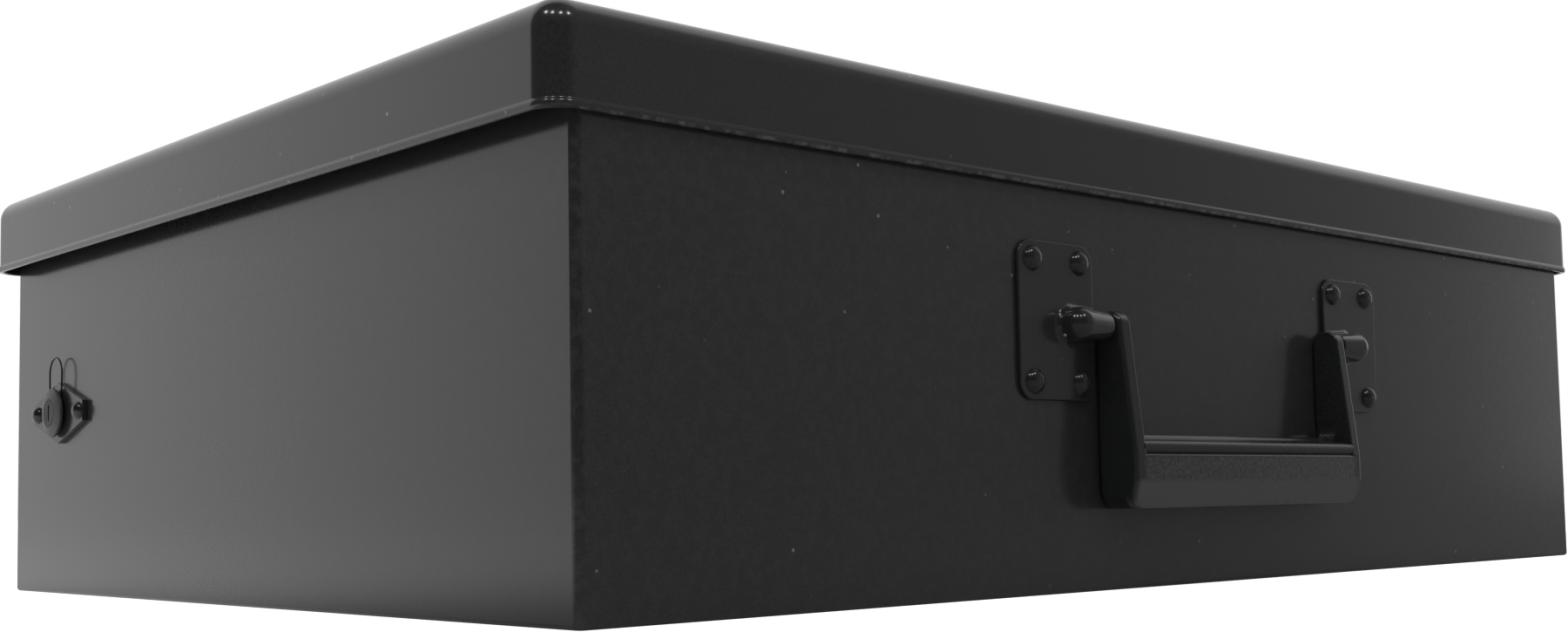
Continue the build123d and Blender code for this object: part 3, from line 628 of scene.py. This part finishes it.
def band(tree, coordinate, low, high, soft):
    """1 where a coordinate lies between two values in millimetres, with soft ends."""
    rise = past(tree, coordinate, (low - soft, low + soft))
    fall = past(tree, coordinate, (high + soft, high - soft))
    return product(tree, rise, fall)


def glossy_barrel(tree, vector, rough, colour):
    """The pressed barrel stands out from its plate and is polished by hands."""
    away = past(tree, split_place(tree, vector)["Y"], BARREL_OUT)
    sleek = math_node(tree, "SUBTRACT", 1.0, product(tree, away, BARREL_SLEEKER))
    return product(tree, rough, sleek), colour


def dulled_grip_and_painted_reflection(tree, vector, rough, colour):
    """The grip is dulled in patches on its flat face. Its lower face is painted paler: a painted
    reflection of the bright floor in front.
    """
    at = split_place(tree, vector)
    face = product(tree, band(tree, at["Z"], *GRIP_FACE, GRIP_SOFT), past(tree, at["Y"], GRIP_OUT),
                   band(tree, at["X"], -GRIP_HALF, GRIP_HALF, GRIP_SOFT))
    patches = noise(tree, vector, GRIP_GRAIN, detail=6.0, roughness=0.7)
    worn = product(tree, face, spread(tree, patches, *NOISE_MIDDLE))
    rough = math_node(tree, "ADD", rough, product(tree, worn, GRIP_DULLER))
    colour = mix(tree, "RGBA", product(tree, worn, GRIP_DUST_SHOWS), colour, GRIP_DUST)
    # Painted reflection: the lower face is made paler, in place of the mirrored bright floor.
    painted_reflection_mask = product(tree, band(tree, at["Z"], *UNDER_FACE, UNDER_SOFT),
                    band(tree, at["X"], -UNDER_HALF, UNDER_HALF, UNDER_END_SOFT),
                    past(tree, at["Y"], UNDER_OUT))
    return rough, mix(tree, "RGBA", painted_reflection_mask, colour, UNDER_PAINTED_REFLECTION)


body_paint = painted(
    "body_black", tones=((0.01, 0.0105, 0.0105), (0.012, 0.0125, 0.0125)), gloss=(0.47, 0.5),
    grain=(620.0, 1900.0), peel_depth=0.06, dust=0.22, rub=0.25, sheen=0.1, coat_weight=1.0)
lid_paint = painted(
    "lid_black", tones=((0.01, 0.0105, 0.0105), (0.012, 0.0125, 0.0125)), gloss=(0.45, 0.48),
    grain=(620.0, 1900.0), peel_depth=0.06, dust=0.22, rub=0.25, sheen=0.1, coat_weight=1.0)
plate_paint = painted(
    "plate_black", tones=((0.009, 0.0095, 0.0095), (0.011, 0.0115, 0.0115)), gloss=(0.42, 0.46),
    grain=(900.0, 2600.0), peel_depth=0.02, dust=0.08, sheen=0.1, coat_weight=0.9,
    region=glossy_barrel)
flange_paint = painted(
    "flange_black", tones=((0.009, 0.0095, 0.0095), (0.012, 0.0125, 0.0125)), gloss=(0.42, 0.5),
    grain=(900.0, 2600.0), peel_depth=0.015, dust=0.06, sheen=0.1, coat_weight=0.8)
rivet_paint = painted(
    "rivet_black", tones=((0.008, 0.0085, 0.0085), (0.01, 0.0105, 0.0105)), gloss=(0.12, 0.17),
    grain=(900.0, 2600.0), peel_depth=0.008, dust=0.05)
# The handle's paint carries a painted reflection of the floor on the grip's lower face.
handle_paint = painted(
    "handle_black", tones=((0.008, 0.0085, 0.0085), (0.01, 0.0105, 0.0105)), gloss=(0.13, 0.19),
    grain=(900.0, 2600.0), peel_depth=0.006, dust=0.08, region=dulled_grip_and_painted_reflection)
hinge_paint = painted(
    "hinge_black", tones=((0.012, 0.0125, 0.0125), (0.015, 0.0155, 0.0155)), gloss=(0.3, 0.4),
    grain=(900.0, 3000.0), peel_depth=0.02, dust=0.06)
lock_paint = painted(
    "lock_black", tones=((0.022, 0.023, 0.023), (0.034, 0.035, 0.034)), gloss=(0.35, 0.45),
    grain=(1100.0, 3600.0), peel_depth=0.01, dust=0.05)
keeper_paint = painted(
    "keeper_black", tones=((0.012, 0.0125, 0.0125), (0.015, 0.0155, 0.0155)), gloss=(0.35, 0.45),
    grain=(800.0, 2600.0), peel_depth=0.02)
rubber = painted(
    "buffer_rubber", tones=((0.022, 0.022, 0.022), (0.03, 0.03, 0.03)), gloss=(0.7, 0.85),
    grain=(1500.0, 4000.0), peel_depth=0.03)


# Plated metal

MARK_SCALE = 900.0
MARK_DEPTH = 0.004
MARK_STRENGTH = 0.5


def plated(name, tones, gloss, streak):
    """Plated metal: a cloudy plating with fine marks of the tool along one axis."""
    material, tree, shader, vector = start_material(name)
    shader["Metallic"].default_value = 1.0
    stretch = tree.nodes.new("ShaderNodeMapping")
    stretch.inputs["Scale"].default_value = streak
    tree.links.new(vector, stretch.inputs["Vector"])
    marks = noise(tree, stretch.outputs["Vector"], MARK_SCALE)
    clouds = use_group(tree, powder_coat, vector)["Tone"]
    tree.links.new(mix(tree, "RGBA", clouds, *tones), shader["Base Color"])
    tree.links.new(spread(tree, marks, *NOISE_MIDDLE, *gloss), shader["Roughness"])
    add_bump(tree, shader, marks, MARK_DEPTH, MARK_STRENGTH)
    return material


bright_steel = plated(
    "zinc_plate", tones=((0.5, 0.5, 0.5), (0.62, 0.62, 0.6)), gloss=(0.25, 0.42),
    streak=(0.1, 1.0, 1.0))
dark_nickel = plated(
    "dark_nickel", tones=((0.03, 0.03, 0.03), (0.045, 0.045, 0.045)), gloss=(0.4, 0.5),
    streak=(1.0, 1.0, 0.2))
brass = plated(
    "wafer_brass", tones=((0.52, 0.4, 0.18), (0.62, 0.49, 0.24)), gloss=(0.25, 0.4),
    streak=(1.0, 1.0, 0.2))
spring_wire = plated(
    "spring_wire", tones=((0.02, 0.02, 0.02), (0.03, 0.03, 0.03)), gloss=(0.3, 0.45),
    streak=(1.0, 1.0, 0.1))


# Floor

FLOOR_SIZE = 12.0
FLOOR_ROUGHNESS = 0.9
FLOOR_FADE = (-0.2, 0.1)
FLOOR_PALE = (0.86, 0.86, 0.86)
FLOOR_DARK = (0.2, 0.2, 0.2)
FLOOR_LIFT = 0.85
FLOOR_GLOSS_LIFT = 0.25
FLOOR_DIM = 0.02


def floor_paint():
    """A pale matte floor, lifted to white for the camera.

    Mirrored light sees it darker and less lifted in front, where the room is dim too.
    """
    material, tree, shader, vector = start_material("floor_white")
    shader["Roughness"].default_value = FLOOR_ROUGHNESS
    shader["Emission Color"].default_value = (1.0, 1.0, 1.0, 1.0)
    back = split_place(tree, vector)["Y"]
    glossy = ray_share(tree, "Is Glossy Ray", "Is Transmission Ray")
    dark = product(tree, glossy, spread(tree, back, *FLOOR_FADE, 1.0, 0.0))
    tree.links.new(mix(tree, "RGBA", dark, FLOOR_PALE, FLOOR_DARK), shader["Base Color"])
    lift = spread(tree, back, *FLOOR_FADE, FLOOR_DIM, FLOOR_GLOSS_LIFT)
    mirrored = product(tree, glossy, lift)
    seen = product(tree, ray_share(tree, "Is Camera Ray"), FLOOR_LIFT)
    tree.links.new(math_node(tree, "ADD", mirrored, seen), shader["Emission Strength"])
    return material


def paint(material, *pieces):
    """Gives pieces, or CAD nodes by name, one material."""
    for piece in pieces:
        thing = nodes[piece] if isinstance(piece, str) else piece
        thing.data.materials.clear()
        thing.data.materials.append(material)


paint(body_paint, body)
paint(lid_paint, lid)
paint(plate_paint, plate_left, plate_right)
paint(flange_paint, flange)
paint(rivet_paint, "handle_rivets_left", "handle_rivets_right", "lock_flange_rivets")
paint(handle_paint, "handle", "handle_pivot_pin_left", "handle_pivot_pin_right")
paint(hinge_paint, "hinge_body_leaf", "hinge_lid_leaf", "hinge_body_rivets", "hinge_lid_rivets")
paint(lock_paint, lock_head)
paint(keeper_paint, keeper)
paint(rubber, "lid_buffers")
paint(bright_steel, nut, cam, "hinge_pin", "handle_rivet_washers", "lock_tooth_washer",
      "lock_cam_screw")
paint(dark_nickel, "lock_plug")
paint(brass, "lock_wafers")
paint(spring_wire, "lock_wire_clip")

bpy.ops.object.select_all(action="DESELECT")
bpy.ops.mesh.primitive_plane_add(size=FLOOR_SIZE, location=(0.0, 0.0, 0.0))
floor = bpy.context.object
floor.name = "floor"
paint(floor_paint(), floor)
